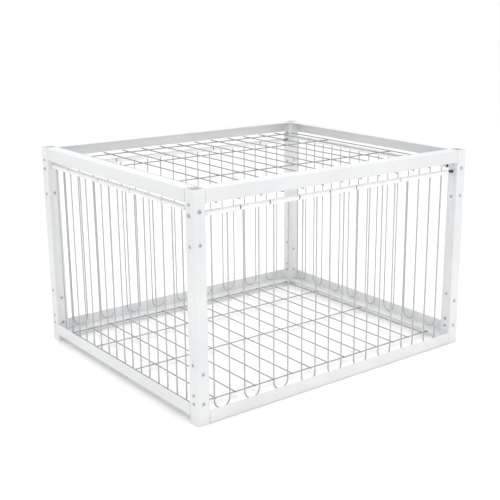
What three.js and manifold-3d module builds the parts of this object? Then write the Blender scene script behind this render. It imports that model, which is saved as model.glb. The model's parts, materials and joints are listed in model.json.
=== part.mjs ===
// One-way wire-wall cage: a frame of square posts and angle rails, a welded floor panel, a welded top panel,
// and four walls of U-shaped wires that hang from rods and swing inwards.
// Millimetres, +Z up. The origin is on the ground under the middle of the cage, +X runs along the long front.
import * as THREE from 'three';
import { mergeVertices } from 'three/addons/utils/BufferGeometryUtils.js';
import Module from 'manifold-3d';

const wasm = await Module();
wasm.setup();

// ---- Driving dimensions -------------------------------------------------------------------------------
const CAGE = { length: 670, depth: 566, height: 420 };
const GAP = 0.3; // clearance between pieces that touch

const POST = { size: 25, wall: 1.5, holeRadius: 2.4, holeSides: 6 };
// Heights of the punched holes, on the faces that look to the front or back, and on those that look sideways
const POST_HOLES_FRONT_BACK = [40, 95, 325];
const POST_HOLES_SIDEWAYS = [39, 55, 111, 322, 393.5];

const RAIL = { leg: 25, wall: 1.5, raised: 12 };

const ROD = { radius: 3, sides: 8, threadRadius: 1.9, threadDepth: 14 };
const SCREW = { shankRadius: 1.5, shankLength: 34, headRadius: 3.1, headHeight: 2, sides: 8 };

const SLEEVE = { radius: 5, bore: 3.6, sides: 10, boreSides: 8, seam: 1.5 };
const WIRE = { radius: 1.25, sides: 6, bendSteps: 6 };
const LEG_TOP = 4; // a leg ends this far below the rod's axis, inside the sleeve's wall

// Each wall in its own frame: local X along the wall, local +Y inwards, origin on the outer face at the ground
const WALLS = [
  { name: 'front', turn: 0, span: CAGE.length, offset: CAGE.depth / 2, railBase: 0,
    axisHeight: 375.5, count: 9, pitch: 66.9, width: 33.5, shift: -7.3, low: 9, shortCount: 3, shortLow: 15 },
  { name: 'right', turn: 1, span: CAGE.depth, offset: CAGE.length / 2, railBase: RAIL.raised,
    axisHeight: 382, count: 8, pitch: 62.9, width: 31.45, shift: 6.7, low: 19.5, shortCount: 0, shortLow: 0 },
  { name: 'back', turn: 2, span: CAGE.length, offset: CAGE.depth / 2, railBase: RAIL.raised,
    axisHeight: 375.5, count: 9, pitch: 66.9, width: 33.5, shift: 7.3, low: 19.5, shortCount: 0, shortLow: 0 },
  { name: 'left', turn: 3, span: CAGE.depth, offset: CAGE.length / 2, railBase: RAIL.raised,
    axisHeight: 382, count: 8, pitch: 62.9, width: 31.45, shift: -6.7, low: 19.5, shortCount: 0, shortLow: 0 },
];

// Welded panels: wires along Y lie on the wires along X and sink a little into them at every weld. The edge
// wires stop short of the posts, the others reach over the rails.
const WELD_LIFT = 2;
const EDGE = { x: 314, alongXEnd: CAGE.length / 2 - POST.size - 1, alongYEnd: CAGE.depth / 2 - POST.size - 1 };
const FLOOR = { lowest: RAIL.raised - GAP - WELD_LIFT - 2 * WIRE.radius, crossing: [-214.5, -4.5, 155.5],
  crossingEnd: 325, edges: [262], firstX: -301, pitchX: 46, count: 14, frontEnd: -221.5, backEnd: 264 };
const TOP = { lowest: 390, crossing: [-80, 126], crossingEnd: 320,
  edges: [-262, 262], firstX: -286, pitchX: 47, count: 13, frontEnd: -281.5, backEnd: 281.5 };

// ---- Finishes -----------------------------------------------------------------------------------------
const FINISH = {
  frame: { color: 0xf1f2f4, roughness: 0.42, metalness: 0 },
  sleeve: { color: 0xf4f5f6, roughness: 0.38, metalness: 0 },
  wire: { color: 0xc9ccce, roughness: 0.4, metalness: 0.85 },
  mesh: { color: 0x9fa3a6, roughness: 0.45, metalness: 0.85 },
  zinc: { color: 0xb4b6b8, roughness: 0.35, metalness: 0.9 },
};

// ---- Solids -------------------------------------------------------------------------------------------
/** Swap each triangle's corners if the closed geometry is inside out. */
function faceOutwards(geometry) {
  const { array } = geometry.index;
  const corner = [new THREE.Vector3(), new THREE.Vector3(), new THREE.Vector3()];
  let volume = 0;
  for (let i = 0; i < array.length; i += 3) {
    corner.forEach((point, k) => point.fromBufferAttribute(geometry.attributes.position, array[i + k]));
    volume += corner[0].dot(corner[1].cross(corner[2]));
  }
  for (let i = 0; volume < 0 && i < array.length; i += 3) {
    [array[i], array[i + 1]] = [array[i + 1], array[i]];
  }
  return geometry;
}

/** A manifold solid from any closed three.js geometry. */
function solid(geometry) {
  const bare = geometry.index ? geometry.toNonIndexed() : geometry.clone();
  bare.deleteAttribute('normal');
  bare.deleteAttribute('uv');
  bare.clearGroups();
  const merged = faceOutwards(mergeVertices(bare, 1e-4));
  return new wasm.Manifold(new wasm.Mesh({
    numProp: 3,
    vertProperties: new Float32Array(merged.attributes.position.array),
    triVerts: new Uint32Array(merged.index.array),
  }));
}

/** The three.js geometry of a manifold solid. */
function geometryOf(body) {
  const { vertProperties, triVerts } = body.getMesh();
  const geometry = new THREE.BufferGeometry();
  geometry.setAttribute('position', new THREE.BufferAttribute(vertProperties, 3));
  geometry.setIndex(new THREE.BufferAttribute(triVerts, 1));
  geometry.computeVertexNormals();
  return geometry;
}

function mesh(name, geometry, finish) {
  const part = new THREE.Mesh(geometry, new THREE.MeshStandardMaterial(finish));
  part.name = name;
  return part;
}

/** A round bar of the given number of sides, centred on the point and lying along 'x', 'y' or 'z'. */
function bar(radius, length, sides, along, [x, y, z]) {
  const geometry = new THREE.CylinderGeometry(radius, radius, length, sides);
  if (along === 'x') geometry.rotateZ(Math.PI / 2);
  if (along === 'z') geometry.rotateX(Math.PI / 2);
  return geometry.translate(x, y, z);
}

/** A path through listed points, with one extrusion step from each point to the next. */
class PointPath extends THREE.Curve {
  constructor(points) {
    super();
    this.points = points;
  }

  get steps() {
    return this.points.length - 1;
  }

  getPoint(t) {
    const place = Math.min(Math.max(t, 0), 1) * this.steps;
    const from = Math.min(Math.floor(place), this.steps - 1);
    return this.points[from].clone().lerp(this.points[from + 1], place - from);
  }

  getPointAt(u) {
    return this.getPoint(u);
  }

  getTangentAt(u) {
    const at = Math.round(u * this.steps);
    const before = this.points[Math.max(at - 1, 0)];
    const here = this.points[at];
    const after = this.points[Math.min(at + 1, this.steps)];
    const arriving = here.clone().sub(before).normalize();
    const leaving = after.clone().sub(here).normalize();
    return arriving.add(leaving).normalize();
  }
}

function roundShape(radius, sides) {
  const corners = Array.from({ length: sides }, (_, i) => {
    const angle = (2 * Math.PI * i) / sides;
    return new THREE.Vector2(radius * Math.cos(angle), radius * Math.sin(angle));
  });
  return new THREE.Shape(corners);
}

// ---- Frame --------------------------------------------------------------------------------------------
function squareShape(half) {
  return [[-half, -half], [half, -half], [half, half], [-half, half]].map(([x, y]) => new THREE.Vector2(x, y));
}

/** A post about its own axis, standing on the ground: square tube, open at both ends, with its holes. */
function postGeometry(frontBackScrew, sidewaysScrew) {
  const outline = new THREE.Shape(squareShape(POST.size / 2));
  outline.holes.push(new THREE.Path(squareShape(POST.size / 2 - POST.wall).reverse()));
  let tube = solid(new THREE.ExtrudeGeometry(outline, { depth: CAGE.height, bevelEnabled: false }));
  for (const z of [...POST_HOLES_FRONT_BACK, frontBackScrew]) {
    tube = tube.subtract(solid(bar(POST.holeRadius, 2 * POST.size, POST.holeSides, 'y', [0, 0, z])));
  }
  for (const z of [...POST_HOLES_SIDEWAYS, sidewaysScrew]) {
    tube = tube.subtract(solid(bar(POST.holeRadius, 2 * POST.size, POST.holeSides, 'x', [0, 0, z])));
  }
  return geometryOf(tube);
}

/** An equal angle along local X: the upright leg on the outside, the other leg inwards at the given side. */
function angleGeometry(length, flangeOnTop) {
  const { leg, wall } = RAIL;
  const outline = flangeOnTop
    ? [[0, 0], [wall, 0], [wall, leg - wall], [leg, leg - wall], [leg, leg], [0, leg]]
    : [[0, 0], [leg, 0], [leg, wall], [wall, wall], [wall, leg], [0, leg]];
  const section = new THREE.Shape(outline.map(([y, z]) => new THREE.Vector2(y, z)));
  const geometry = new THREE.ExtrudeGeometry(section, { depth: length, bevelEnabled: false });
  // The section's plane becomes YZ, and the extrusion runs along X
  geometry.applyMatrix4(new THREE.Matrix4().makeBasis(
    new THREE.Vector3(0, 1, 0), new THREE.Vector3(0, 0, 1), new THREE.Vector3(1, 0, 0)));
  return geometry.translate(-length / 2, 0, 0);
}

// ---- Hanging parts ------------------------------------------------------------------------------------
/** A hanger rod about its own axis along X, with a threaded hole in each end. */
function rodGeometry(length) {
  let rod = solid(bar(ROD.radius, length, ROD.sides, 'x', [0, 0, 0]));
  for (const end of [-1, 1]) {
    const hole = bar(ROD.threadRadius, 2 * ROD.threadDepth, ROD.sides, 'x', [end * length / 2, 0, 0]);
    rod = rod.subtract(solid(hole));
  }
  return geometryOf(rod);
}

/** A rod screw along X: its head's underside at x = 0, its shank towards +X. */
function screwGeometry() {
  const shank = bar(SCREW.shankRadius, SCREW.shankLength + 1, SCREW.sides, 'x',
    [(SCREW.shankLength - 1) / 2, 0, 0]);
  const head = bar(SCREW.headRadius, SCREW.headHeight, SCREW.sides, 'x', [-SCREW.headHeight / 2, 0, 0]);
  return geometryOf(solid(shank).add(solid(head)));
}

/** One swinging wire about the rod's axis: a bored sleeve with a U of wire below it. */
function swingingWireGeometry(width, sleeveLength, drop) {
  const half = width / 2;
  const bendCentre = -drop + WIRE.radius + half;
  const points = [new THREE.Vector3(-half, 0, -LEG_TOP)];
  for (let i = 0; i <= WIRE.bendSteps; i += 1) {
    const angle = Math.PI * (1 + i / WIRE.bendSteps);
    points.push(new THREE.Vector3(half * Math.cos(angle), 0, bendCentre + half * Math.sin(angle)));
  }
  points.push(new THREE.Vector3(half, 0, -LEG_TOP));
  const path = new PointPath(points);
  const wire = new THREE.ExtrudeGeometry(roundShape(WIRE.radius, WIRE.sides),
    { steps: path.steps, extrudePath: path, bevelEnabled: false });
  const outside = bar(SLEEVE.radius, sleeveLength, SLEEVE.sides, 'x', [0, 0, 0]);
  const bore = bar(SLEEVE.bore, sleeveLength + 2, SLEEVE.boreSides, 'x', [0, 0, 0]);
  return geometryOf(solid(wire).add(solid(outside)).subtract(solid(bore)));
}

// ---- Welded panels ------------------------------------------------------------------------------------
/** A welded panel: wires along X at the bottom, wires along Y on top of them. */
function panelGeometry(panel) {
  const lowZ = panel.lowest + WIRE.radius;
  const alongX = (y, end) => bar(WIRE.radius, 2 * end, WIRE.sides, 'x', [0, y, lowZ]);
  const alongY = (x, from, to) => bar(WIRE.radius, to - from, WIRE.sides, 'y',
    [x, (from + to) / 2, lowZ + WELD_LIFT]);
  const edgeFrom = Math.max(panel.frontEnd, -EDGE.alongYEnd);
  const wires = [
    ...panel.crossing.map((y) => alongX(y, panel.crossingEnd)),
    ...panel.edges.map((y) => alongX(y, EDGE.alongXEnd)),
    ...[-EDGE.x, EDGE.x].map((x) => alongY(x, edgeFrom, EDGE.alongYEnd)),
  ];
  for (let i = 0; i < panel.count; i += 1) {
    wires.push(alongY(panel.firstX + i * panel.pitchX, panel.frontEnd, panel.backEnd));
  }
  return geometryOf(wires.map(solid).reduce((panelSoFar, wire) => panelSoFar.add(wire)));
}

// ---- Assembly -----------------------------------------------------------------------------------------
/** One wall: two rails, a rod with its two screws, and the row of swinging wires. */
function buildWall(wall) {
  const group = new THREE.Group();
  group.rotation.z = wall.turn * Math.PI / 2;
  const outward = new THREE.Vector3(0, -1, 0).applyAxisAngle(new THREE.Vector3(0, 0, 1), group.rotation.z);
  group.position.copy(outward.multiplyScalar(wall.offset));

  const between = wall.span - 2 * POST.size - 2 * GAP;
  const bottomRail = mesh(`${wall.name}_bottom_rail`, angleGeometry(between, false), FINISH.frame);
  bottomRail.position.z = wall.railBase;
  const topRail = mesh(`${wall.name}_top_rail`, angleGeometry(between, true), FINISH.frame);
  topRail.position.z = CAGE.height - RAIL.leg;
  group.add(bottomRail, topRail);

  const hanging = new THREE.Group();
  hanging.position.set(0, POST.size / 2, wall.axisHeight);
  group.add(hanging);
  hanging.add(mesh(`${wall.name}_hanger_rod`, rodGeometry(between), FINISH.zinc));
  for (const [end, side] of [['start', -1], ['end', 1]]) {
    const screw = mesh(`${wall.name}_rod_screw_${end}`, screwGeometry(), FINISH.zinc);
    screw.position.x = side * (wall.span / 2 + GAP);
    screw.rotation.z = side > 0 ? Math.PI : 0;
    hanging.add(screw);
  }
  for (let i = 0; i < wall.count; i += 1) {
    const low = i < wall.shortCount ? wall.shortLow : wall.low;
    const geometry = swingingWireGeometry(wall.width, wall.pitch - SLEEVE.seam, wall.axisHeight - low);
    const wire = mesh(`${wall.name}_swing_wire_${i + 1}`, geometry, FINISH.wire);
    wire.position.x = wall.shift + (i - (wall.count - 1) / 2) * wall.pitch;
    hanging.add(wire);
  }
  return group;
}

const cage = new THREE.Group();
const [frontWall, rightWall] = WALLS;
for (const [name, sideX, sideY] of [['front_left', -1, -1], ['front_right', 1, -1],
  ['back_left', -1, 1], ['back_right', 1, 1]]) {
  const post = mesh(`${name}_post`, postGeometry(rightWall.axisHeight, frontWall.axisHeight), FINISH.frame);
  post.position.set(sideX * (CAGE.length - POST.size) / 2, sideY * (CAGE.depth - POST.size) / 2, 0);
  cage.add(post);
}
for (const wall of WALLS) cage.add(buildWall(wall));
cage.add(mesh('floor_mesh', panelGeometry(FLOOR), FINISH.mesh));
cage.add(mesh('top_mesh', panelGeometry(TOP), FINISH.mesh));

export default cage;
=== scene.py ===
"""One-way wire-wall cage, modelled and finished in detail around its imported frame.

Pieces are placed from the boxes of the frame's nodes and the positions of its joints. The sizes inside a
piece, such as hole heights and wire pitches, are fields of its class and repeat those of the frame. Lengths
inside the classes are millimetres, and a piece turns to metres when it is placed.
"""

import json
import logging
import math
import random
from dataclasses import dataclass, field
from enum import Enum
from typing import Any, Sequence

import bmesh
import bpy
from mathutils import Matrix, Vector


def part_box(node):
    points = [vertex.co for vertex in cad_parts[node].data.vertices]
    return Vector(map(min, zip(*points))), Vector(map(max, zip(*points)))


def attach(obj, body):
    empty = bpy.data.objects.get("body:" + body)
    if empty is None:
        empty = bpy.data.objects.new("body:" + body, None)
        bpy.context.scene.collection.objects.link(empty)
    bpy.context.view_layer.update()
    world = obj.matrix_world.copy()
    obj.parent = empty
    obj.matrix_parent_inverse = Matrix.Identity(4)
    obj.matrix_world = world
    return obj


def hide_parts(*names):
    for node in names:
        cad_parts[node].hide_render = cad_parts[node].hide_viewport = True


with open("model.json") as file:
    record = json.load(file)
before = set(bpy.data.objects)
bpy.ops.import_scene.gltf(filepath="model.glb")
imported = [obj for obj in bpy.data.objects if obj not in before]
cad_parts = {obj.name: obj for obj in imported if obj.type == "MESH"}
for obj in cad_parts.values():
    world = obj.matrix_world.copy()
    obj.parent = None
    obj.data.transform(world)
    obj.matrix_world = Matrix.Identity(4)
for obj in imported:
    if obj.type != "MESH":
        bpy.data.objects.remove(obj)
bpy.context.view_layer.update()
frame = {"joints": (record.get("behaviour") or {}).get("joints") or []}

LOG = logging.getLogger("cage")
MM = 0.001
ROOT = "root"
SHARP = math.radians(38)
MERGE_MM = 1e-4
SAME_MM = 1e-5


class Side(Enum):
    """The four walls. The value is the wall's name in the frame."""

    FRONT = "front"
    RIGHT = "right"
    BACK = "back"
    LEFT = "left"

    @property
    def turn(self) -> float:
        """The wall's turn about the upright axis, in radians."""
        return list(Side).index(self) * math.pi / 2


class Slot(Enum):
    """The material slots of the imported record."""

    FRAME = "frame_white"
    SWING = "swing_wire"
    MESH = "mesh_wire"
    PIN = "steel_pin"
    ZINC = "zinc_screw"


# ---- Shader writing --------------------------------------------------------------------------------------


class Wire:
    """An output socket that takes part in Python expressions.

    Each operator adds one Math node, so ``1 - mask * 0.2`` reads as it is drawn.
    """

    def __init__(self, graph: "Graph", socket: bpy.types.NodeSocket) -> None:
        """Wrap a socket.

        Args:
            graph: the graph that the socket is in.
            socket: the output socket.
        """
        self.graph = graph
        self.socket = socket

    def math(self, operation: str, *values: Any, first: Any = None) -> "Wire":
        """Apply a Math operation to this output.

        Args:
            operation: the Math node's operation.
            values: the operands after this one.
            first: an operand that comes before this one.

        Returns:
            The Math node's output.
        """
        operands = ([] if first is None else [first]) + [self, *values]
        return self.graph.node("ShaderNodeMath", {"operation": operation}, dict(enumerate(operands)))

    def __add__(self, other: Any) -> "Wire":
        """Add."""
        return self.math("ADD", other)

    __radd__ = __add__

    def __mul__(self, other: Any) -> "Wire":
        """Multiply."""
        return self.math("MULTIPLY", other)

    __rmul__ = __mul__

    def __sub__(self, other: Any) -> "Wire":
        """Subtract."""
        return self.math("SUBTRACT", other)

    def __rsub__(self, other: Any) -> "Wire":
        """Subtract from a number."""
        return self.math("SUBTRACT", first=other)

    def __pow__(self, other: Any) -> "Wire":
        """Raise to a power."""
        return self.math("POWER", other)

    def above(self, low: float, high: float) -> "Wire":
        """Ramp from 0 at low to 1 at high, smoothly.

        Args:
            low: the value that becomes 0.
            high: the value that becomes 1.

        Returns:
            The ramped output.
        """
        inputs = {"Value": self, "From Min": low, "From Max": high}
        return self.graph.node("ShaderNodeMapRange", {"interpolation_type": "SMOOTHSTEP"}, inputs)


class Graph:
    """The node tree of one material with a Principled surface."""

    def __init__(self, name: str) -> None:
        """Make an empty material.

        Args:
            name: the material's name.
        """
        self.material = bpy.data.materials.new(name)
        self.material.use_nodes = True
        self.tree = self.material.node_tree
        self.tree.nodes.clear()
        output = self.tree.nodes.new("ShaderNodeOutputMaterial")
        self.shader = self.tree.nodes.new("ShaderNodeBsdfPrincipled")
        self.tree.links.new(self.shader.outputs[0], output.inputs["Surface"])

    def feed(self, node: bpy.types.Node, key: Any, value: Any) -> None:
        """Set or link one input of a node.

        Args:
            node: the node.
            key: the input's name or number.
            value: a number, a tuple or a Wire.
        """
        if isinstance(value, Wire):
            self.tree.links.new(value.socket, node.inputs[key])
        else:
            node.inputs[key].default_value = value

    def node(self, kind: str, settings: dict | None = None, inputs: dict | None = None,
             output: str | int = 0) -> Wire:
        """Make any node.

        Args:
            kind: the node's type.
            settings: the node's own settings, set first.
            inputs: values or links by socket name or number.
            output: the output that is returned.

        Returns:
            The chosen output.
        """
        made = self.tree.nodes.new(kind)
        for key, value in (settings or {}).items():
            setattr(made, key, value)
        for key, value in (inputs or {}).items():
            self.feed(made, key, value)
        return Wire(self, made.outputs[output])

    def place(self, stretch: Sequence[float] = (1.0, 1.0, 1.0)) -> Wire:
        """Give the object's own coordinates, stretched.

        Args:
            stretch: the factor along each axis.

        Returns:
            The coordinate vector.
        """
        own = self.node("ShaderNodeTexCoord", output="Object")
        return self.node("ShaderNodeMapping", inputs={"Vector": own, "Scale": tuple(stretch)})

    def noise(self, where: Wire, cell_mm: float, detail: float = 2.0, rough: float = 0.5) -> Wire:
        """Give a noise of about the given grain.

        Args:
            where: the coordinates.
            cell_mm: the size of one grain in millimetres.
            detail: the noise's detail.
            rough: the noise's roughness.

        Returns:
            The noise's value, from 0 to 1.
        """
        inputs = {"Vector": where, "Scale": 1 / (cell_mm * MM), "Detail": detail, "Roughness": rough}
        return self.node("ShaderNodeTexNoise", inputs=inputs)

    def blend(self, factor: Wire, low: Sequence[float] | Wire, high: Sequence[float]) -> Wire:
        """Mix two colours.

        Args:
            factor: 0 for low and 1 for high.
            low: the first colour, which may be a mix itself.
            high: the second colour.

        Returns:
            The mixed colour.
        """
        made = self.tree.nodes.new("ShaderNodeMix")
        made.data_type = "RGBA"
        self.feed(made, 0, factor)
        self.feed(made, 6, low if isinstance(low, Wire) else (*low, 1.0))
        self.feed(made, 7, (*high, 1.0))
        return Wire(self, made.outputs[2])

    def bump(self, height: Wire, depth_mm: float) -> None:
        """Turn a height into the surface's normal, at full strength.

        Args:
            height: the height, from 0 to 1.
            depth_mm: how deep 1 is, in millimetres.
        """
        inputs = {"Height": height, "Distance": depth_mm * MM, "Strength": 1.0}
        self.feed(self.shader, "Normal", self.node("ShaderNodeBump", inputs=inputs))

    def surface(self, **inputs: Any) -> None:
        """Set inputs of the surface shader, with spaces written as underscores.

        Args:
            inputs: values or links by socket name.
        """
        for key, value in inputs.items():
            self.feed(self.shader, key.replace("_", " "), value)


# ---- Finishes --------------------------------------------------------------------------------------------


@dataclass(frozen=True)
class PowderCoat:
    """White powder coat: satin, with fine orange peel, faint clouding and a few specks of dust in it."""

    name: str = "white_powder_coat"
    bright: tuple[float, float, float] = (0.775, 0.785, 0.793)
    dim: tuple[float, float, float] = (0.725, 0.737, 0.75)
    speck: tuple[float, float, float] = (0.52, 0.53, 0.54)
    roughness: float = 0.36
    cloud_mm: float = 90.0
    rub_mm: float = 14.0
    speck_mm: float = 0.9
    peel_mm: float = 1.6
    grain_mm: float = 0.28
    peel_depth_mm: float = 0.035

    def build(self) -> bpy.types.Material:
        """Make the material."""
        graph = Graph(self.name)
        own = graph.place()
        clouds = graph.noise(own, self.cloud_mm, 3.0)
        rubbed = graph.noise(own, self.rub_mm, 5.0, 0.62).above(0.52, 0.74)
        specks = graph.noise(own, self.speck_mm, 1.0).above(0.76, 0.80)
        peel = graph.noise(own, self.peel_mm, 2.0)
        grain = graph.noise(own, self.grain_mm, 1.0)
        tone = graph.blend(clouds.above(0.3, 0.75), self.bright, self.dim)
        tone = graph.blend(rubbed * 0.35, tone, self.dim)
        tone = graph.blend(specks * 0.5, tone, self.speck)
        graph.surface(Base_Color=tone, Roughness=rubbed * 0.12 + clouds * 0.08 + self.roughness,
                      Specular_IOR_Level=0.45)
        graph.bump(peel + grain * 0.25 - specks * 0.6, self.peel_depth_mm)
        return graph.material


@dataclass(frozen=True)
class SleevePlastic:
    """White extruded plastic: smooth along the sleeve, with faint draw lines and rubbed bands."""

    name: str
    stretch: tuple[float, float, float]
    bright: tuple[float, float, float] = (0.9, 0.905, 0.905)
    dim: tuple[float, float, float] = (0.8, 0.81, 0.82)
    roughness: float = 0.3
    line_mm: float = 0.5
    cloud_mm: float = 22.0
    scuff_mm: float = 3.5
    depth_mm: float = 0.02

    def build(self) -> bpy.types.Material:
        """Make the material."""
        graph = Graph(self.name)
        own = graph.place()
        lines = graph.noise(graph.place(self.stretch), self.line_mm, 3.0)
        clouds = graph.noise(own, self.cloud_mm, 3.0)
        scuffs = graph.noise(own, self.scuff_mm, 4.0, 0.6).above(0.58, 0.72)
        tone = graph.blend(clouds.above(0.35, 0.7) * 0.5 + scuffs * 0.3, self.bright, self.dim)
        graph.surface(Base_Color=tone, Roughness=scuffs * 0.2 + lines * 0.1 + self.roughness,
                      Specular_IOR_Level=0.5)
        graph.bump(lines + scuffs * 0.4, self.depth_mm)
        return graph.material


@dataclass(frozen=True)
class ZincWire:
    """Zinc-coated drawn wire: bright metal, streaked along its length and clouded with white bloom."""

    name: str
    bright: tuple[float, float, float]
    dark: tuple[float, float, float]
    bloom: tuple[float, float, float] = (0.72, 0.73, 0.74)
    stretch: tuple[float, float, float] = (1.0, 1.0, 1.0)
    roughness: float = 0.34
    metallic: float = 0.9
    streak_mm: float = 0.45
    spangle_mm: float = 3.2
    bloom_mm: float = 17.0
    depth_mm: float = 0.03

    def build(self) -> bpy.types.Material:
        """Make the material."""
        graph = Graph(self.name)
        own = graph.place()
        streaks = graph.noise(graph.place(self.stretch), self.streak_mm, 4.0, 0.6)
        spangle = graph.noise(own, self.spangle_mm, 2.0)
        bloom = graph.noise(own, self.bloom_mm, 5.0, 0.6).above(0.55, 0.8)
        tone = graph.blend((streaks * 0.6 + spangle * 0.4).above(0.3, 0.7), self.dark, self.bright)
        tone = graph.blend(bloom * 0.45, tone, self.bloom)
        graph.surface(Base_Color=tone, Metallic=self.metallic - bloom * 0.3,
                      Roughness=spangle * 0.12 + bloom * 0.15 + self.roughness)
        graph.bump(streaks + spangle * 0.5, self.depth_mm)
        return graph.material


@dataclass(frozen=True)
class ZincPlate:
    """Zinc-plated screws and rivets: bright, slightly blue, with fine turning marks and duller patches."""

    name: str = "zinc_plate"
    bright: tuple[float, float, float] = (0.60, 0.615, 0.64)
    dark: tuple[float, float, float] = (0.33, 0.34, 0.36)
    roughness: float = 0.28
    metallic: float = 0.92
    patch_mm: float = 1.8
    mark_mm: float = 0.15
    depth_mm: float = 0.02

    def build(self) -> bpy.types.Material:
        """Make the material."""
        graph = Graph(self.name)
        own = graph.place()
        patches = graph.noise(own, self.patch_mm, 4.0, 0.6)
        marks = graph.noise(own, self.mark_mm, 2.0)
        tone = graph.blend(patches.above(0.35, 0.65), self.dark, self.bright)
        graph.surface(Base_Color=tone, Metallic=self.metallic,
                      Roughness=patches * 0.2 + marks * 0.1 + self.roughness)
        graph.bump(marks + patches * 0.6, self.depth_mm)
        return graph.material


@dataclass(frozen=True)
class StudioFloor:
    """A matt pale studio floor."""

    name: str = "studio_floor"
    tone: tuple[float, float, float] = (0.985, 0.985, 0.98)

    def build(self) -> bpy.types.Material:
        """Make the material."""
        graph = Graph(self.name)
        graph.surface(Base_Color=(*self.tone, 1.0), Roughness=0.85, Specular_IOR_Level=0.1)
        return graph.material


@dataclass
class Finishes:
    """All the finishes of the cage, made once."""

    coat: bpy.types.Material = field(default_factory=lambda: PowderCoat().build())
    swing: bpy.types.Material = field(default_factory=lambda: ZincWire(
        "bright_wire", (0.585, 0.595, 0.60), (0.385, 0.395, 0.40), stretch=(1.0, 1.0, 0.06)).build())
    mesh: bpy.types.Material = field(default_factory=lambda: ZincWire(
        "dull_wire", (0.50, 0.51, 0.515), (0.29, 0.295, 0.3), roughness=0.42, metallic=0.85).build())
    # The pin's near-black tone is painted shade: the rod shows only through the gaps between sleeves, and
    # its dark colour stands in for the shade in those gaps.
    pin: bpy.types.Material = field(default_factory=lambda: ZincWire(
        "pin_dark_as_painted_seam_shade", (0.12, 0.12, 0.125), (0.045, 0.045, 0.05), bloom=(0.2, 0.2, 0.2),
        roughness=0.42, metallic=0.7).build())
    zinc: bpy.types.Material = field(default_factory=lambda: ZincPlate().build())
    sleeve_x: bpy.types.Material = field(default_factory=lambda: SleevePlastic(
        "white_sleeve_long", (0.05, 1.0, 1.0)).build())
    sleeve_y: bpy.types.Material = field(default_factory=lambda: SleevePlastic(
        "white_sleeve_deep", (1.0, 0.05, 1.0)).build())


# ---- Mesh work -------------------------------------------------------------------------------------------


def box_mm(node: str, place: Matrix) -> tuple[Vector, Vector]:
    """Give a node's box in a turned frame.

    Args:
        node: the node's name.
        place: the matrix from that frame, in millimetres, to the cage's own frame, in millimetres.

    Returns:
        The lowest and the highest corner in millimetres.
    """
    back = place.inverted()
    corners = [back @ (Vector(corner) / MM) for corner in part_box(node)]
    low = Vector(min(c[i] for c in corners) for i in range(3))
    high = Vector(max(c[i] for c in corners) for i in range(3))
    return low, high


def finish_piece(name: str, bm: bmesh.types.BMesh, material: bpy.types.Material,
                 body: str = ROOT, place: Matrix | None = None, stands_for: Sequence[str] = ()) -> None:
    """Turn a bmesh in millimetres into a finished piece at its place.

    Args:
        name: the piece's name.
        bm: the shape, which is freed.
        material: its finish.
        body: the body that it rides on.
        place: the matrix to the cage's own frame, in millimetres.
        stands_for: the nodes that it replaces.
    """
    bmesh.ops.transform(bm, matrix=Matrix.Scale(MM, 4) @ (place or Matrix.Identity(4)), verts=bm.verts)
    mesh = bpy.data.meshes.new(name)
    bm.to_mesh(mesh)
    bm.free()
    for polygon in mesh.polygons:
        polygon.use_smooth = True
    mesh.set_sharp_from_angle(angle=SHARP)
    mesh.materials.append(material)
    piece = bpy.data.objects.new(name, mesh)
    bpy.context.scene.collection.objects.link(piece)
    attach(piece, body)
    if stands_for:
        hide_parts(*stands_for)
    LOG.info("%s: %d faces", name, len(mesh.polygons))


def outward(bm: bmesh.types.BMesh) -> None:
    """Merge doubles and point every face outwards."""
    bmesh.ops.remove_doubles(bm, verts=bm.verts, dist=MERGE_MM)
    bmesh.ops.recalc_face_normals(bm, faces=bm.faces)


def soften(bm: bmesh.types.BMesh, width: float, segments: int, least: float = math.radians(50)) -> None:
    """Round every edge that is sharper than an angle.

    Args:
        bm: the shape.
        width: the bevel's width.
        segments: the bevel's segments.
        least: the least angle between faces that is rounded.
    """
    edges = [e for e in bm.edges if len(e.link_faces) == 2 and e.calc_face_angle(0) > least]
    bmesh.ops.bevel(bm, geom=edges, offset=width, offset_type="OFFSET", segments=segments, profile=0.5,
                    affect="EDGES", clamp_overlap=True, material=-1)


def punched(bm: bmesh.types.BMesh, tool: bmesh.types.BMesh) -> bmesh.types.BMesh:
    """Cut one shape out of another.

    Args:
        bm: the shape, which is freed.
        tool: the shape that is cut away, which is freed.

    Returns:
        The cut shape.
    """
    objects = []
    for label, shape in (("blank", bm), ("punch", tool)):
        mesh = bpy.data.meshes.new(label)
        shape.to_mesh(mesh)
        shape.free()
        made = bpy.data.objects.new(label, mesh)
        bpy.context.scene.collection.objects.link(made)
        objects.append(made)
    blank, punch = objects
    cut = blank.modifiers.new("cut", "BOOLEAN")
    cut.operation = "DIFFERENCE"
    cut.solver = "EXACT"
    cut.object = punch
    seen = blank.evaluated_get(bpy.context.evaluated_depsgraph_get())
    result = bmesh.new()
    result.from_mesh(seen.to_mesh())
    seen.to_mesh_clear()
    for made in objects:
        mesh = made.data
        bpy.data.objects.remove(made)
        bpy.data.meshes.remove(mesh)
    return result


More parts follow.
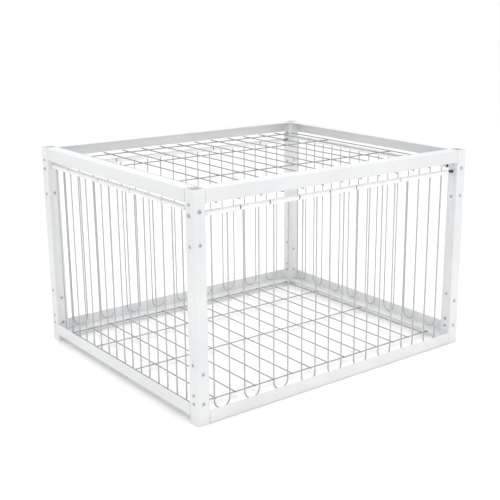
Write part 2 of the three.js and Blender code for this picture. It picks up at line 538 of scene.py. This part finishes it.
class Sweep:
    """A round wire grown from a ring, one straight or bend at a time."""

    CHAMFER = 0.82

    def __init__(self, radius: float, sides: int, start: Vector, along: Vector,
                 bm: bmesh.types.BMesh | None = None) -> None:
        """Start a wire.

        Args:
            radius: the wire's radius.
            sides: the number of sides.
            start: the middle of its first ring.
            along: the direction in which it starts.
            bm: the shape that it is added to, or a new one.
        """
        self.bm = bm or bmesh.new()
        self.radius = radius
        self.along = along.normalized()
        turn = Vector((0, 0, 1)).rotation_difference(self.along).to_matrix().to_4x4()
        ring = bmesh.ops.create_circle(self.bm, segments=sides, radius=radius,
                                       matrix=Matrix.Translation(start) @ turn)
        self.verts = ring["verts"]
        self.edges = list({edge for vert in self.verts for edge in vert.link_edges})
        self.middle = start.copy()
        self.cap()

    def cap(self) -> None:
        """Close the wire's end with a chamfered face."""
        rim = bmesh.ops.extrude_edge_only(self.bm, edges=self.edges)["geom"]
        verts = [g for g in rim if isinstance(g, bmesh.types.BMVert)]
        edges = [g for g in rim if isinstance(g, bmesh.types.BMEdge)]
        inner = [e for e in edges if all(v in verts for v in e.verts)]
        bmesh.ops.scale(self.bm, verts=verts, vec=(self.CHAMFER,) * 3,
                        space=Matrix.Translation(-self.middle))
        bmesh.ops.edgeloop_fill(self.bm, edges=inner)

    def straight(self, length: float, steps: int = 1, grow: float = 1.0) -> "Sweep":
        """Grow straight on.

        Args:
            length: how far.
            steps: in how many rings.
            grow: the factor by which each ring is wider than the last.

        Returns:
            The sweep, so that calls can be chained.
        """
        for _ in range(steps):
            geom = bmesh.ops.extrude_edge_only(self.bm, edges=self.edges)["geom"]
            self._take(geom)
            step = self.along * (length / steps)
            bmesh.ops.translate(self.bm, verts=self.verts, vec=step)
            self.middle += step
            if grow != 1.0:
                bmesh.ops.scale(self.bm, verts=self.verts, vec=(grow,) * 3,
                                space=Matrix.Translation(-self.middle))
        return self

    def bend(self, centre: Vector, axis: Vector, angle: float, steps: int) -> "Sweep":
        """Grow round a bend.

        Args:
            centre: the bend's centre.
            axis: the bend's axis.
            angle: the bend's angle in radians.
            steps: the number of rings.

        Returns:
            The sweep, so that calls can be chained.
        """
        turned = bmesh.ops.spin(self.bm, geom=self.verts + self.edges, cent=centre, axis=axis, angle=angle,
                                steps=steps, use_merge=False, use_duplicate=False)
        self._take(turned["geom_last"])
        turn = Matrix.Rotation(angle, 3, axis)
        self.along = turn @ self.along
        self.middle = centre + turn @ (self.middle - centre)
        return self

    def _take(self, geom: Sequence[Any]) -> None:
        """Make the newest ring the one that grows next."""
        self.verts = [g for g in geom if isinstance(g, bmesh.types.BMVert)]
        ring = set(self.verts)
        self.edges = [g for g in geom if isinstance(g, bmesh.types.BMEdge) and set(g.verts) <= ring]

    def end(self) -> bmesh.types.BMesh:
        """Close the wire.

        Returns:
            The shape.
        """
        self.cap()
        return self.bm


# ---- Sub-assemblies --------------------------------------------------------------------------------------


@dataclass
class Screw:
    """A pan-head machine screw with a cross recess and a rolled thread."""

    head_radius: float = 3.1
    head_height: float = 2.0
    shank_radius: float = 1.5
    shank_length: float = 34.0
    pitch: float = 0.5
    run_out: float = 0.6
    root_share: float = 0.86
    tip_chamfer: float = 0.4
    recess: float = 3.0
    recess_width: float = 0.8
    recess_depth: float = 1.9
    dome: tuple[tuple[float, float], ...] = (
        (1.0, 0.0), (0.99, 0.35), (0.9, 0.62), (0.68, 0.87), (0.4, 0.98), (0.12, 1.0), (0.0, 0.95))
    sides: int = 20

    def shape(self) -> bmesh.types.BMesh:
        """Make the screw along X, its head's underside at 0 and its shank towards +X.

        The dome's points are shares of the head's height and of its radius.

        Returns:
            The shape.
        """
        top, rim, shank, length = -self.head_height, self.head_radius, self.shank_radius, self.shank_length
        outline = [(top * high, rim * wide) for high, wide in self.dome] + [(0.0, shank)]
        x = self.run_out
        while x < length - self.pitch:
            outline += [(x, shank * self.root_share), (x + self.pitch / 2, shank)]
            x += self.pitch
        outline += [(length - self.tip_chamfer, shank * 0.9), (length, shank * 0.6), (length, 0.0)]
        bm = bmesh.new()
        verts = [bm.verts.new((x, 0.0, r)) for x, r in outline]
        edges = [bm.edges.new(pair) for pair in zip(verts, verts[1:])]
        bmesh.ops.spin(bm, geom=verts + edges, cent=(0, 0, 0), axis=(1, 0, 0), angle=math.tau,
                       steps=self.sides, use_merge=True)
        outward(bm)
        blade = Matrix.Diagonal((self.recess_depth, self.recess, self.recess_width, 1.0))
        for turn in (0.0, math.pi / 2):
            tool = bmesh.new()
            bmesh.ops.create_cube(tool, size=1.0, matrix=Matrix.Translation((top, 0, 0))
                                  @ Matrix.Rotation(turn, 4, "X") @ blade)
            bm = punched(bm, tool)
        return bm


@dataclass
class Rivet:
    """A blind rivet: a low dome with the dimple of its pulled pin, and a short body in the hole."""

    head_radius: float = 3.1
    head_height: float = 1.1
    body_radius: float = 2.3
    body_length: float = 2.6
    dimple_radius: float = 1.1
    dimple_depth: float = 0.8
    lift: float = 0.02
    rim_height: float = 0.22
    dome: tuple[tuple[float, float], ...] = ((0.55, 0.93), (0.8, 0.7), (0.95, 0.42))
    sides: int = 20

    def add(self, bm: bmesh.types.BMesh, place: Matrix) -> None:
        """Add the rivet to a shape.

        The dome's points are shares of the head's radius and of its height.

        Args:
            bm: the shape.
            place: the matrix from the rivet's frame, its head's underside at 0 and its head towards +Z.
        """
        top, rim, low, foot = self.head_height, self.head_radius, self.lift, -self.body_length
        dimple = top - self.dimple_depth
        outline = [(0.0, dimple), (self.dimple_radius * 0.8, dimple), (self.dimple_radius, top * 0.97)]
        outline += [(rim * wide, top * high) for wide, high in self.dome]
        outline += [(rim, low + self.rim_height), (rim * 0.985, low), (self.body_radius, low),
                    (self.body_radius, foot), (0.0, foot)]
        known = set(bm.verts)
        verts = [bm.verts.new((r, 0.0, z)) for r, z in outline]
        edges = [bm.edges.new(pair) for pair in zip(verts, verts[1:])]
        bmesh.ops.spin(bm, geom=verts + edges, cent=(0, 0, 0), axis=(0, 0, 1), angle=math.tau,
                       steps=self.sides, use_merge=True)
        made = [v for v in bm.verts if v not in known]
        bmesh.ops.transform(bm, matrix=place, verts=made)


@dataclass
class Post:
    """A corner post: square tube, open at both ends, with soft edges and rivets in its punched holes."""

    name: str
    size: float = 25.0
    wall: float = 1.5
    corner: float = 1.7
    inner_corner: float = 0.6
    hole: float = 2.45
    hole_sides: int = 24
    edge: float = 0.28
    holes_front_back: tuple[float, ...] = (40.0, 95.0, 325.0)
    holes_sideways: tuple[float, ...] = (39.0, 55.0, 111.0, 322.0, 393.5)

    def tube(self, height: float) -> bmesh.types.BMesh:
        """Make the tube about its own axis, standing at 0.

        Args:
            height: its height.

        Returns:
            The shape.
        """
        bm = bmesh.new()
        outer = self.size / 2
        for half, corner in ((outer, self.corner), (outer - self.wall, self.inner_corner)):
            ring = bmesh.ops.create_circle(bm, segments=4, radius=half * math.sqrt(2),
                                           matrix=Matrix.Rotation(math.pi / 4, 4, "Z"))
            bmesh.ops.bevel(bm, geom=ring["verts"], offset=corner, offset_type="OFFSET", segments=5,
                            profile=0.5, affect="VERTICES", material=-1)
        bottom = list(bm.edges)
        grown = bmesh.ops.extrude_edge_only(bm, edges=bottom)["geom"]
        upper = [g for g in grown if isinstance(g, bmesh.types.BMVert)]
        bmesh.ops.translate(bm, verts=upper, vec=(0, 0, height))
        top = [e for e in bm.edges if all(v in upper for v in e.verts)]
        bmesh.ops.bridge_loops(bm, edges=bottom)
        bmesh.ops.bridge_loops(bm, edges=top)
        outward(bm)
        return bm

    def build(self, finishes: Finishes, rod_heights: tuple[float, float]) -> None:
        """Make the post at its place.

        Args:
            finishes: the finishes.
            rod_heights: the heights of the rods of the side walls and of the long walls.
        """
        low, high = box_mm(self.name, Matrix.Identity(4))
        axis = (low + high) / 2
        bm = self.tube(high.z - low.z)
        holes = [(z, "X") for z in (*self.holes_front_back, rod_heights[0])]
        holes += [(z, "Y") for z in (*self.holes_sideways, rod_heights[1])]
        for z, turn in holes:
            tool = bmesh.new()
            across = Matrix.Translation((0, 0, z)) @ Matrix.Rotation(math.pi / 2, 4, turn)
            bmesh.ops.create_cone(tool, cap_ends=True, segments=self.hole_sides, radius1=self.hole,
                                  radius2=self.hole, depth=self.size * 2, matrix=across)
            bm = punched(bm, tool)
        soften(bm, self.edge, 2)
        stand = Matrix.Translation((axis.x, axis.y, low.z))
        finish_piece(f"{self.name}_tube", bm, finishes.coat, place=stand,
                     stands_for=[self.name])
        finish_piece(f"{self.name}_rivets", self.rivets(), finishes.zinc, place=stand)

    def rivets(self) -> bmesh.types.BMesh:
        """Make the rivets in the holes of all four faces.

        Returns:
            The shape about the post's axis.
        """
        bm, rivet = bmesh.new(), Rivet()
        out_of_face = Matrix.Translation((0, -self.size / 2, 0)) @ Matrix.Rotation(math.pi / 2, 4, "X")
        for heights, quarters in ((self.holes_front_back, (0, 2)), (self.holes_sideways, (1, 3))):
            for z in heights:
                for quarter in quarters:
                    turn = Matrix.Rotation(quarter * math.pi / 2, 4, "Z")
                    rivet.add(bm, Matrix.Translation((0, 0, z)) @ turn @ out_of_face)
        outward(bm)
        return bm


@dataclass
class AngleRail:
    """An equal angle, folded from sheet with a bend radius, its cut edges softened by the coat."""

    name: str
    place: Matrix
    flange_on_top: bool
    wall: float = 1.5
    bend: float = 2.4
    edge: float = 0.3
    end_gap: float = 0.35

    def build(self, finishes: Finishes) -> None:
        """Make the rail at its place.

        Args:
            finishes: the finishes.
        """
        low, high = box_mm(self.name, self.place)
        low.x, high.x = low.x + self.end_gap, high.x - self.end_gap
        bend_z, tip_z = (high.z, low.z) if self.flange_on_top else (low.z, high.z)
        inner_z = bend_z + math.copysign(self.wall, tip_z - bend_z)
        inner_y = low.y + self.wall
        outline = [(low.y, tip_z), (low.y, bend_z), (high.y, bend_z), (high.y, inner_z), (inner_y, inner_z),
                   (inner_y, tip_z)]
        bm = bmesh.new()
        verts = [bm.verts.new((low.x, y, z)) for y, z in outline]
        bm.faces.new(verts)
        bmesh.ops.bevel(bm, geom=[verts[1]], offset=self.bend, offset_type="OFFSET", segments=6,
                        profile=0.5, affect="VERTICES", material=-1)
        inside = [v for v in bm.verts if (v.co - Vector((low.x, inner_y, inner_z))).length < SAME_MM]
        bmesh.ops.bevel(bm, geom=inside, offset=self.bend - self.wall, offset_type="OFFSET", segments=4,
                        profile=0.5, affect="VERTICES", material=-1)
        grown = bmesh.ops.extrude_face_region(bm, geom=bm.faces[:])["geom"]
        far = [g for g in grown if isinstance(g, bmesh.types.BMVert)]
        bmesh.ops.translate(bm, verts=far, vec=(high.x - low.x, 0, 0))
        outward(bm)
        soften(bm, self.edge, 2)
        finish_piece(f"{self.name}_angle", bm, finishes.coat, place=self.place,
                     stands_for=[self.name])


@dataclass(frozen=True)
class Seam:
    """A joint between two neighbouring sleeves: how wide it is open, and how far it lies off the middle."""

    gap: float = 0.5
    shift: float = 0.0


@dataclass
class SwingingWire:
    """One swinging wire: a white sleeve on the rod and a bent U of bright wire fixed in its underside."""

    node: str
    place: Matrix
    axis_height: float
    chance: random.Random
    seams: tuple[Seam, Seam]
    sleeve_radius: float = 5.0
    sleeve_sides: int = 36
    bore: float = 3.4
    lip: float = 0.55
    lip_middle: float = 0.16
    bore_chamfer: float = 0.3
    seam: float = 1.5
    wire_radius: float = 1.25
    sides: int = 14
    entry: float = 3.9
    collar: float = 1.2
    collar_taper: float = 0.9
    collar_swell: float = 1.5
    leg_rings: int = 14
    bend_rings: int = 22
    bow: float = 0.5
    squeeze: float = 0.25

    def sleeve(self, start: float, stop: float) -> bmesh.types.BMesh:
        """Make the sleeve.

        Args:
            start: its one end along the wall.
            stop: its other end along the wall.

        Returns:
            The shape about the rod's axis.
        """
        middle, half, outer = (start + stop) / 2, (stop - start) / 2, self.sleeve_radius
        end = [(self.bore_chamfer, self.bore), (0.0, self.bore + self.bore_chamfer),
               (0.0, outer - self.lip), (self.lip_middle, outer - self.lip_middle), (self.lip, outer)]
        outline = [(x - half, r) for x, r in end] + [(half - x, r) for x, r in reversed(end)]
        bm = bmesh.new()
        verts = [bm.verts.new((middle + x, 0.0, r)) for x, r in outline]
        edges = [bm.edges.new((verts[i - 1], verts[i])) for i in range(len(verts))]
        bmesh.ops.spin(bm, geom=verts + edges, cent=(0, 0, 0), axis=(1, 0, 0), angle=math.tau,
                       steps=self.sleeve_sides, use_merge=True)
        outward(bm)
        return bm

    def bent_wire(self, middle: float, width: float, drop: float) -> bmesh.types.BMesh:
        """Make the U of wire.

        Args:
            middle: its middle along the wall.
            width: the distance between the middles of its legs.
            drop: how far its lowest point is below the rod's axis.

        Returns:
            The shape about the rod's axis.
        """
        half, swell = width / 2, self.collar_swell
        leg = drop - self.wire_radius - half - self.entry
        bare = leg - self.collar - self.collar_taper
        sweep = Sweep(self.wire_radius * swell, self.sides, Vector((middle - half, 0, -self.entry)),
                      Vector((0, 0, -1)))
        sweep.straight(self.collar).straight(self.collar_taper, 1, 1 / swell).straight(bare, self.leg_rings)
        sweep.bend(Vector((middle, 0, -self.entry - leg)), Vector((0, -1, 0)), math.pi, self.bend_rings)
        sweep.straight(bare, self.leg_rings).straight(self.collar_taper, 1, swell).straight(self.collar)
        bm = sweep.end()
        lean = self.chance.uniform(-self.bow, self.bow)
        belly = self.chance.uniform(-0.5, 0.5) * self.bow
        squeeze = self.chance.uniform(-self.squeeze, self.squeeze)
        for vert in bm.verts:
            down = min(max((-vert.co.z - self.entry) / (drop - self.entry), 0.0), 1.0)
            side, arch = math.copysign(1.0, vert.co.x - middle), math.sin(math.pi * down)
            vert.co.x += lean * math.sin(math.pi * down * 0.5) ** 2 + side * squeeze * arch
            vert.co.y += belly * arch
        outward(bm)
        return bm

    def build(self, finishes: Finishes, sleeve_finish: bpy.types.Material) -> None:
        """Make the sleeve and the wire at their place.

        Args:
            finishes: the finishes.
            sleeve_finish: the sleeve's finish, with its draw lines along this wall.
        """
        low, high = box_mm(self.node, self.place)
        about_rod = self.place @ Matrix.Translation((0, (low.y + high.y) / 2, self.axis_height))
        middle, length = (low.x + high.x) / 2, high.x - low.x
        before, after = self.seams
        start = low.x - self.seam / 2 + before.shift + before.gap / 2
        stop = high.x + self.seam / 2 + after.shift - after.gap / 2
        finish_piece(f"{self.node}_sleeve", self.sleeve(start, stop), sleeve_finish,
                     body=self.node, place=about_rod, stands_for=[self.node])
        bent = self.bent_wire(middle, (length + self.seam) / 2, self.axis_height - low.z)
        finish_piece(f"{self.node}_bent", bent, finishes.swing, body=self.node, place=about_rod,
                     stands_for=[self.node])


@dataclass
class HangerRod:
    """A drawn steel rod with chamfered ends and a threaded hole in each."""

    node: str
    place: Matrix
    thread: float = 1.85
    thread_depth: float = 13.0
    radius: float = 2.95
    chamfer: float = 0.5
    sides: int = 28

    def build(self, finishes: Finishes) -> None:
        """Make the rod at its place.

        Args:
            finishes: the finishes.
        """
        low, high = box_mm(self.node, self.place)
        half, middle = (high.x - low.x) / 2, (low + high) / 2
        deep = half - self.thread_depth
        end = [(deep, 0.0), (deep, self.thread), (half, self.thread), (half, self.radius - self.chamfer),
               (half - self.chamfer, self.radius)]
        outline = [(-x, r) for x, r in end] + end[::-1]
        bm = bmesh.new()
        verts = [bm.verts.new((x, 0.0, z)) for x, z in outline]
        edges = [bm.edges.new(pair) for pair in zip(verts, verts[1:])]
        bmesh.ops.spin(bm, geom=verts + edges, cent=(0, 0, 0), axis=(1, 0, 0), angle=math.tau,
                       steps=self.sides, use_merge=True)
        outward(bm)
        # The rod's dark finish is painted shade for the seams between the sleeves.
        finish_piece(f"{self.node}_bar", bm, finishes.pin, stands_for=[self.node],
                     place=self.place @ Matrix.Translation(middle))


@dataclass
class MeshPanel:
    """A welded panel: drawn wires both ways, slightly wavy, with a weld nugget at each crossing."""

    node: str
    crossing: tuple[float, ...]
    edges: tuple[float, ...]
    first: float
    pitch: float
    count: int
    edge_x: float = 314.0
    short_x: float = 309.0
    short_y: float = 257.0
    wire_radius: float = 1.22
    clearance: float = 0.03
    lift: float = 2.0
    sides: int = 12
    wave: float = 0.55
    steps: int = 26
    nugget_flat: float = 0.7

    def build(self, finishes: Finishes, chance: random.Random) -> None:
        """Make the panel at its place.

        Args:
            finishes: the finishes.
            chance: the source of its waves.
        """
        low, high = box_mm(self.node, Matrix.Identity(4))
        z = low.z + self.wire_radius + self.clearance
        bm = bmesh.new()
        across = [(y, high.x) for y in self.crossing] + [(y, self.short_x) for y in self.edges]
        along = [(self.first + i * self.pitch, low.y, high.y) for i in range(self.count)]
        along += [(x, max(low.y, -self.short_y), self.short_y) for x in (-self.edge_x, self.edge_x)]
        for y, end in across:
            self.wire(bm, Vector((-end, y, z)), Vector((end, y, z)), chance)
        for x, start, end in along:
            self.wire(bm, Vector((x, start, z + self.lift)), Vector((x, end, z + self.lift)), chance)
        for y, end in across:
            for x, start, stop in along:
                if abs(x) < end and start < y < stop:
                    self.nugget(bm, Vector((x, y, z + self.lift / 2)), chance)
        outward(bm)
        finish_piece(f"{self.node}_wires", bm, finishes.mesh, stands_for=[self.node])

    def wire(self, bm: bmesh.types.BMesh, start: Vector, end: Vector, chance: random.Random) -> None:
        """Add one wire with a slight wave in the panel's plane.

        Args:
            bm: the panel.
            start: its one end.
            end: its other end.
            chance: the source of its wave.
        """
        known = set(bm.verts)
        run = end - start
        Sweep(self.wire_radius, self.sides, start, run, bm).straight(run.length, self.steps).end()
        sideways = run.normalized().cross(Vector((0, 0, 1)))
        swings, phase = chance.uniform(1.0, 2.6), chance.uniform(0, math.tau)
        reach = chance.uniform(0.3, 1.0) * self.wave
        for vert in bm.verts:
            if vert not in known:
                share = (vert.co - start).dot(run) / run.length_squared
                vert.co += sideways * reach * math.sin(share * swings * math.tau + phase)

    def nugget(self, bm: bmesh.types.BMesh, middle: Vector, chance: random.Random) -> None:
        """Add the squeezed metal of one weld.

        Args:
            bm: the panel.
            middle: the crossing.
            chance: the source of its size.
        """
        size, flat = self.wire_radius * chance.uniform(1.15, 1.35), self.wire_radius * self.nugget_flat
        shape = Matrix.Translation(middle) @ Matrix.Diagonal((size, size, flat, 1.0))
        bmesh.ops.create_uvsphere(bm, u_segments=8, v_segments=5, radius=1.0, matrix=shape)


@dataclass
class Wall:
    """One wall: its two rails, its rod with two screws, and its row of swinging wires."""

    side: Side
    seams: tuple[Seam, ...]
    end_seam: Seam = Seam(0.3)

    def place(self) -> Matrix:
        """Give the matrix from the wall's own frame, X along it and +Y inwards, to the cage's frame."""
        outside = Matrix.Rotation(self.side.turn, 4, "Z") @ Vector((0, -1, 0))
        low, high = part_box(f"{self.side.value}_bottom_rail")
        reach = max(abs(low.dot(outside)), abs(high.dot(outside))) / MM
        return Matrix.Translation(outside * reach) @ Matrix.Rotation(self.side.turn, 4, "Z")

    def axis_height(self) -> float:
        """Give the height of the rod's axis, from the wall's first joint."""
        joint = next(j for j in frame["joints"] if j["name"].startswith(self.side.value))
        return joint["pos_m"][2] / MM

    def build(self, finishes: Finishes, screw: Screw, chance: random.Random) -> None:
        """Make the wall at its place.

        Args:
            finishes: the finishes.
            screw: the rod screw.
            chance: the source of the wires' small bends.
        """
        name, place = self.side.value, self.place()
        AngleRail(f"{name}_bottom_rail", place, False).build(finishes)
        AngleRail(f"{name}_top_rail", place, True).build(finishes)
        HangerRod(f"{name}_hanger_rod", place).build(finishes)
        for end, turn in (("start", 0.0), ("end", math.pi)):
            node = f"{name}_rod_screw_{end}"
            low, high = box_mm(node, place)
            underside = low.x + screw.head_height if turn == 0.0 else high.x - screw.head_height
            spot = Matrix.Translation((underside, (low.y + high.y) / 2, (low.z + high.z) / 2))
            spin = Matrix.Rotation(chance.uniform(0, math.pi), 4, "X")
            stand = place @ spot @ Matrix.Rotation(turn, 4, "Z") @ spin
            finish_piece(f"{node}_pan_head", screw.shape(), finishes.zinc, place=stand,
                         stands_for=[node])
        along_x = self.side in (Side.FRONT, Side.BACK)
        sleeve_finish = finishes.sleeve_x if along_x else finishes.sleeve_y
        seams = (self.end_seam, *self.seams, self.end_seam)
        for number, pair in enumerate(zip(seams, seams[1:]), 1):
            wire = SwingingWire(f"{name}_swing_wire_{number}", place, self.axis_height(), chance, pair)
            wire.build(finishes, sleeve_finish)


@dataclass(frozen=True)
class Lamp:
    """One large soft lamp: its place and its side in metres, and its power in watts."""

    name: str
    spot: tuple[float, float, float]
    size: float
    watts: float


@dataclass
class Studio:
    """A pale floor, soft light and the camera. Places are in metres and angles in degrees."""

    floor_size: float = 60.0
    floor_drop: float = 0.0004
    aim: tuple[float, float, float] = (0.0, 0.0, 0.2)
    focal_mm: float = 67.78
    sensor_mm: float = 36.0
    azimuth: float = 39.132
    dip: float = 15.592
    roll: float = 0.187
    shift: tuple[float, float] = (-0.0782, 0.0074)
    stand: tuple[float, float, float] = (-1.1571, -1.5419, 0.7315)
    far: float = 200.0
    world_strength: float = 1.01
    lamps: tuple[Lamp, ...] = (Lamp("overhead", (-0.3, 0.1, 2.4), 1.8, 14.0),
                               Lamp("front_fill", (1.0, -2.4, 1.0), 1.6, 5.0))

    def floor(self) -> None:
        """Lay the floor."""
        bm = bmesh.new()
        bmesh.ops.create_grid(bm, x_segments=2, y_segments=2, size=self.floor_size,
                              matrix=Matrix.Translation((0, 0, -self.floor_drop)))
        mesh = bpy.data.meshes.new("studio_floor")
        bm.to_mesh(mesh)
        bm.free()
        mesh.materials.append(StudioFloor().build())
        floor = bpy.data.objects.new("studio_floor", mesh)
        bpy.context.scene.collection.objects.link(floor)

    def hang(self, lamp: Lamp) -> None:
        """Hang one lamp so that it looks at the cage.

        Args:
            lamp: the lamp.
        """
        light = bpy.data.lights.new(lamp.name, "AREA")
        light.size = lamp.size
        light.energy = lamp.watts
        hung = bpy.data.objects.new(lamp.name, light)
        hung.location = lamp.spot
        hung.rotation_euler = (Vector(self.aim) - Vector(lamp.spot)).to_track_quat("-Z", "Y").to_euler()
        bpy.context.scene.collection.objects.link(hung)

    def camera(self) -> None:
        """Set up the camera at the standard three-quarter view."""
        lens = bpy.data.cameras.new("camera")
        lens.lens = self.focal_mm
        lens.sensor_width = self.sensor_mm
        lens.shift_x, lens.shift_y = self.shift
        lens.clip_end = self.far
        camera = bpy.data.objects.new("camera", lens)
        turn = (Matrix.Rotation(math.radians(-self.azimuth), 4, "Z")
                @ Matrix.Rotation(math.radians(90 - self.dip), 4, "X")
                @ Matrix.Rotation(math.radians(self.roll), 4, "Z"))
        camera.matrix_world = Matrix.Translation(self.stand) @ turn
        bpy.context.scene.collection.objects.link(camera)
        bpy.context.scene.camera = camera

    def build(self) -> None:
        """Set up the whole studio."""
        self.floor()
        self.camera()
        for lamp in self.lamps:
            self.hang(lamp)
        world = bpy.data.worlds.new("soft_white")
        world.use_nodes = True
        background = world.node_tree.nodes["Background"]
        background.inputs["Color"].default_value = (1.0, 1.0, 1.0, 1.0)
        background.inputs["Strength"].default_value = self.world_strength
        bpy.context.scene.world = world
        bpy.context.scene.view_settings.view_transform = "Standard"


def seam_row(*gaps_and_shifts: tuple[float, float]) -> tuple[Seam, ...]:
    """Write a wall's seams down, from its start to its end.

    Args:
        gaps_and_shifts: each seam's gap and its shift.

    Returns:
        The seams.
    """
    return tuple(Seam(gap, shift) for gap, shift in gaps_and_shifts)


def main() -> None:
    """Build the cage and its studio."""
    logging.basicConfig(level=logging.INFO, format="%(message)s")
    chance = random.Random(7)
    Studio().build()
    finishes = Finishes()
    screw = Screw()
    wide, ajar, shut = 2.3, 1.6, 0.4
    front = Wall(Side.FRONT, seam_row((wide, 9.0), (wide, 6.0), (wide, 6.0), (wide, 12.0), (wide, 11.0),
                                      (1.0, 11.0), (1.8, -5.0), (shut, 0.0)))
    right = Wall(Side.RIGHT, seam_row((shut, 4.0), (wide, 5.0), (shut, 4.0), (shut, 4.0), (ajar, -6.0),
                                      (shut, 4.0), (wide, 3.0)))
    back = Wall(Side.BACK, seam_row((wide, 4.0), (shut, 4.0), (wide, 8.0), (shut, 4.0), (1.4, 6.0),
                                    (shut, 4.0), (wide, -4.0), (shut, 4.0)))
    left = Wall(Side.LEFT, seam_row((wide, 11.0), (shut, 9.0), (wide, 11.0), (shut, 8.0), (wide, 6.0),
                                    (shut, 0.0), (wide, -11.0)))
    rod_heights = (right.axis_height(), front.axis_height())
    for corner in ("front_left", "front_right", "back_left", "back_right"):
        Post(f"{corner}_post").build(finishes, rod_heights)
    for wall in (front, right, back, left):
        wall.build(finishes, screw, chance)
    floor = MeshPanel("floor_mesh", crossing=(-214.5, -4.5, 155.5), edges=(262.0,), first=-301.0,
                      pitch=46.0, count=14)
    top = MeshPanel("top_mesh", crossing=(-80.0, 126.0), edges=(-262.0, 262.0), first=-286.0, pitch=47.0,
                    count=13)
    for panel in (floor, top):
        panel.build(finishes, chance)


if __name__ == "__main__":
    main()
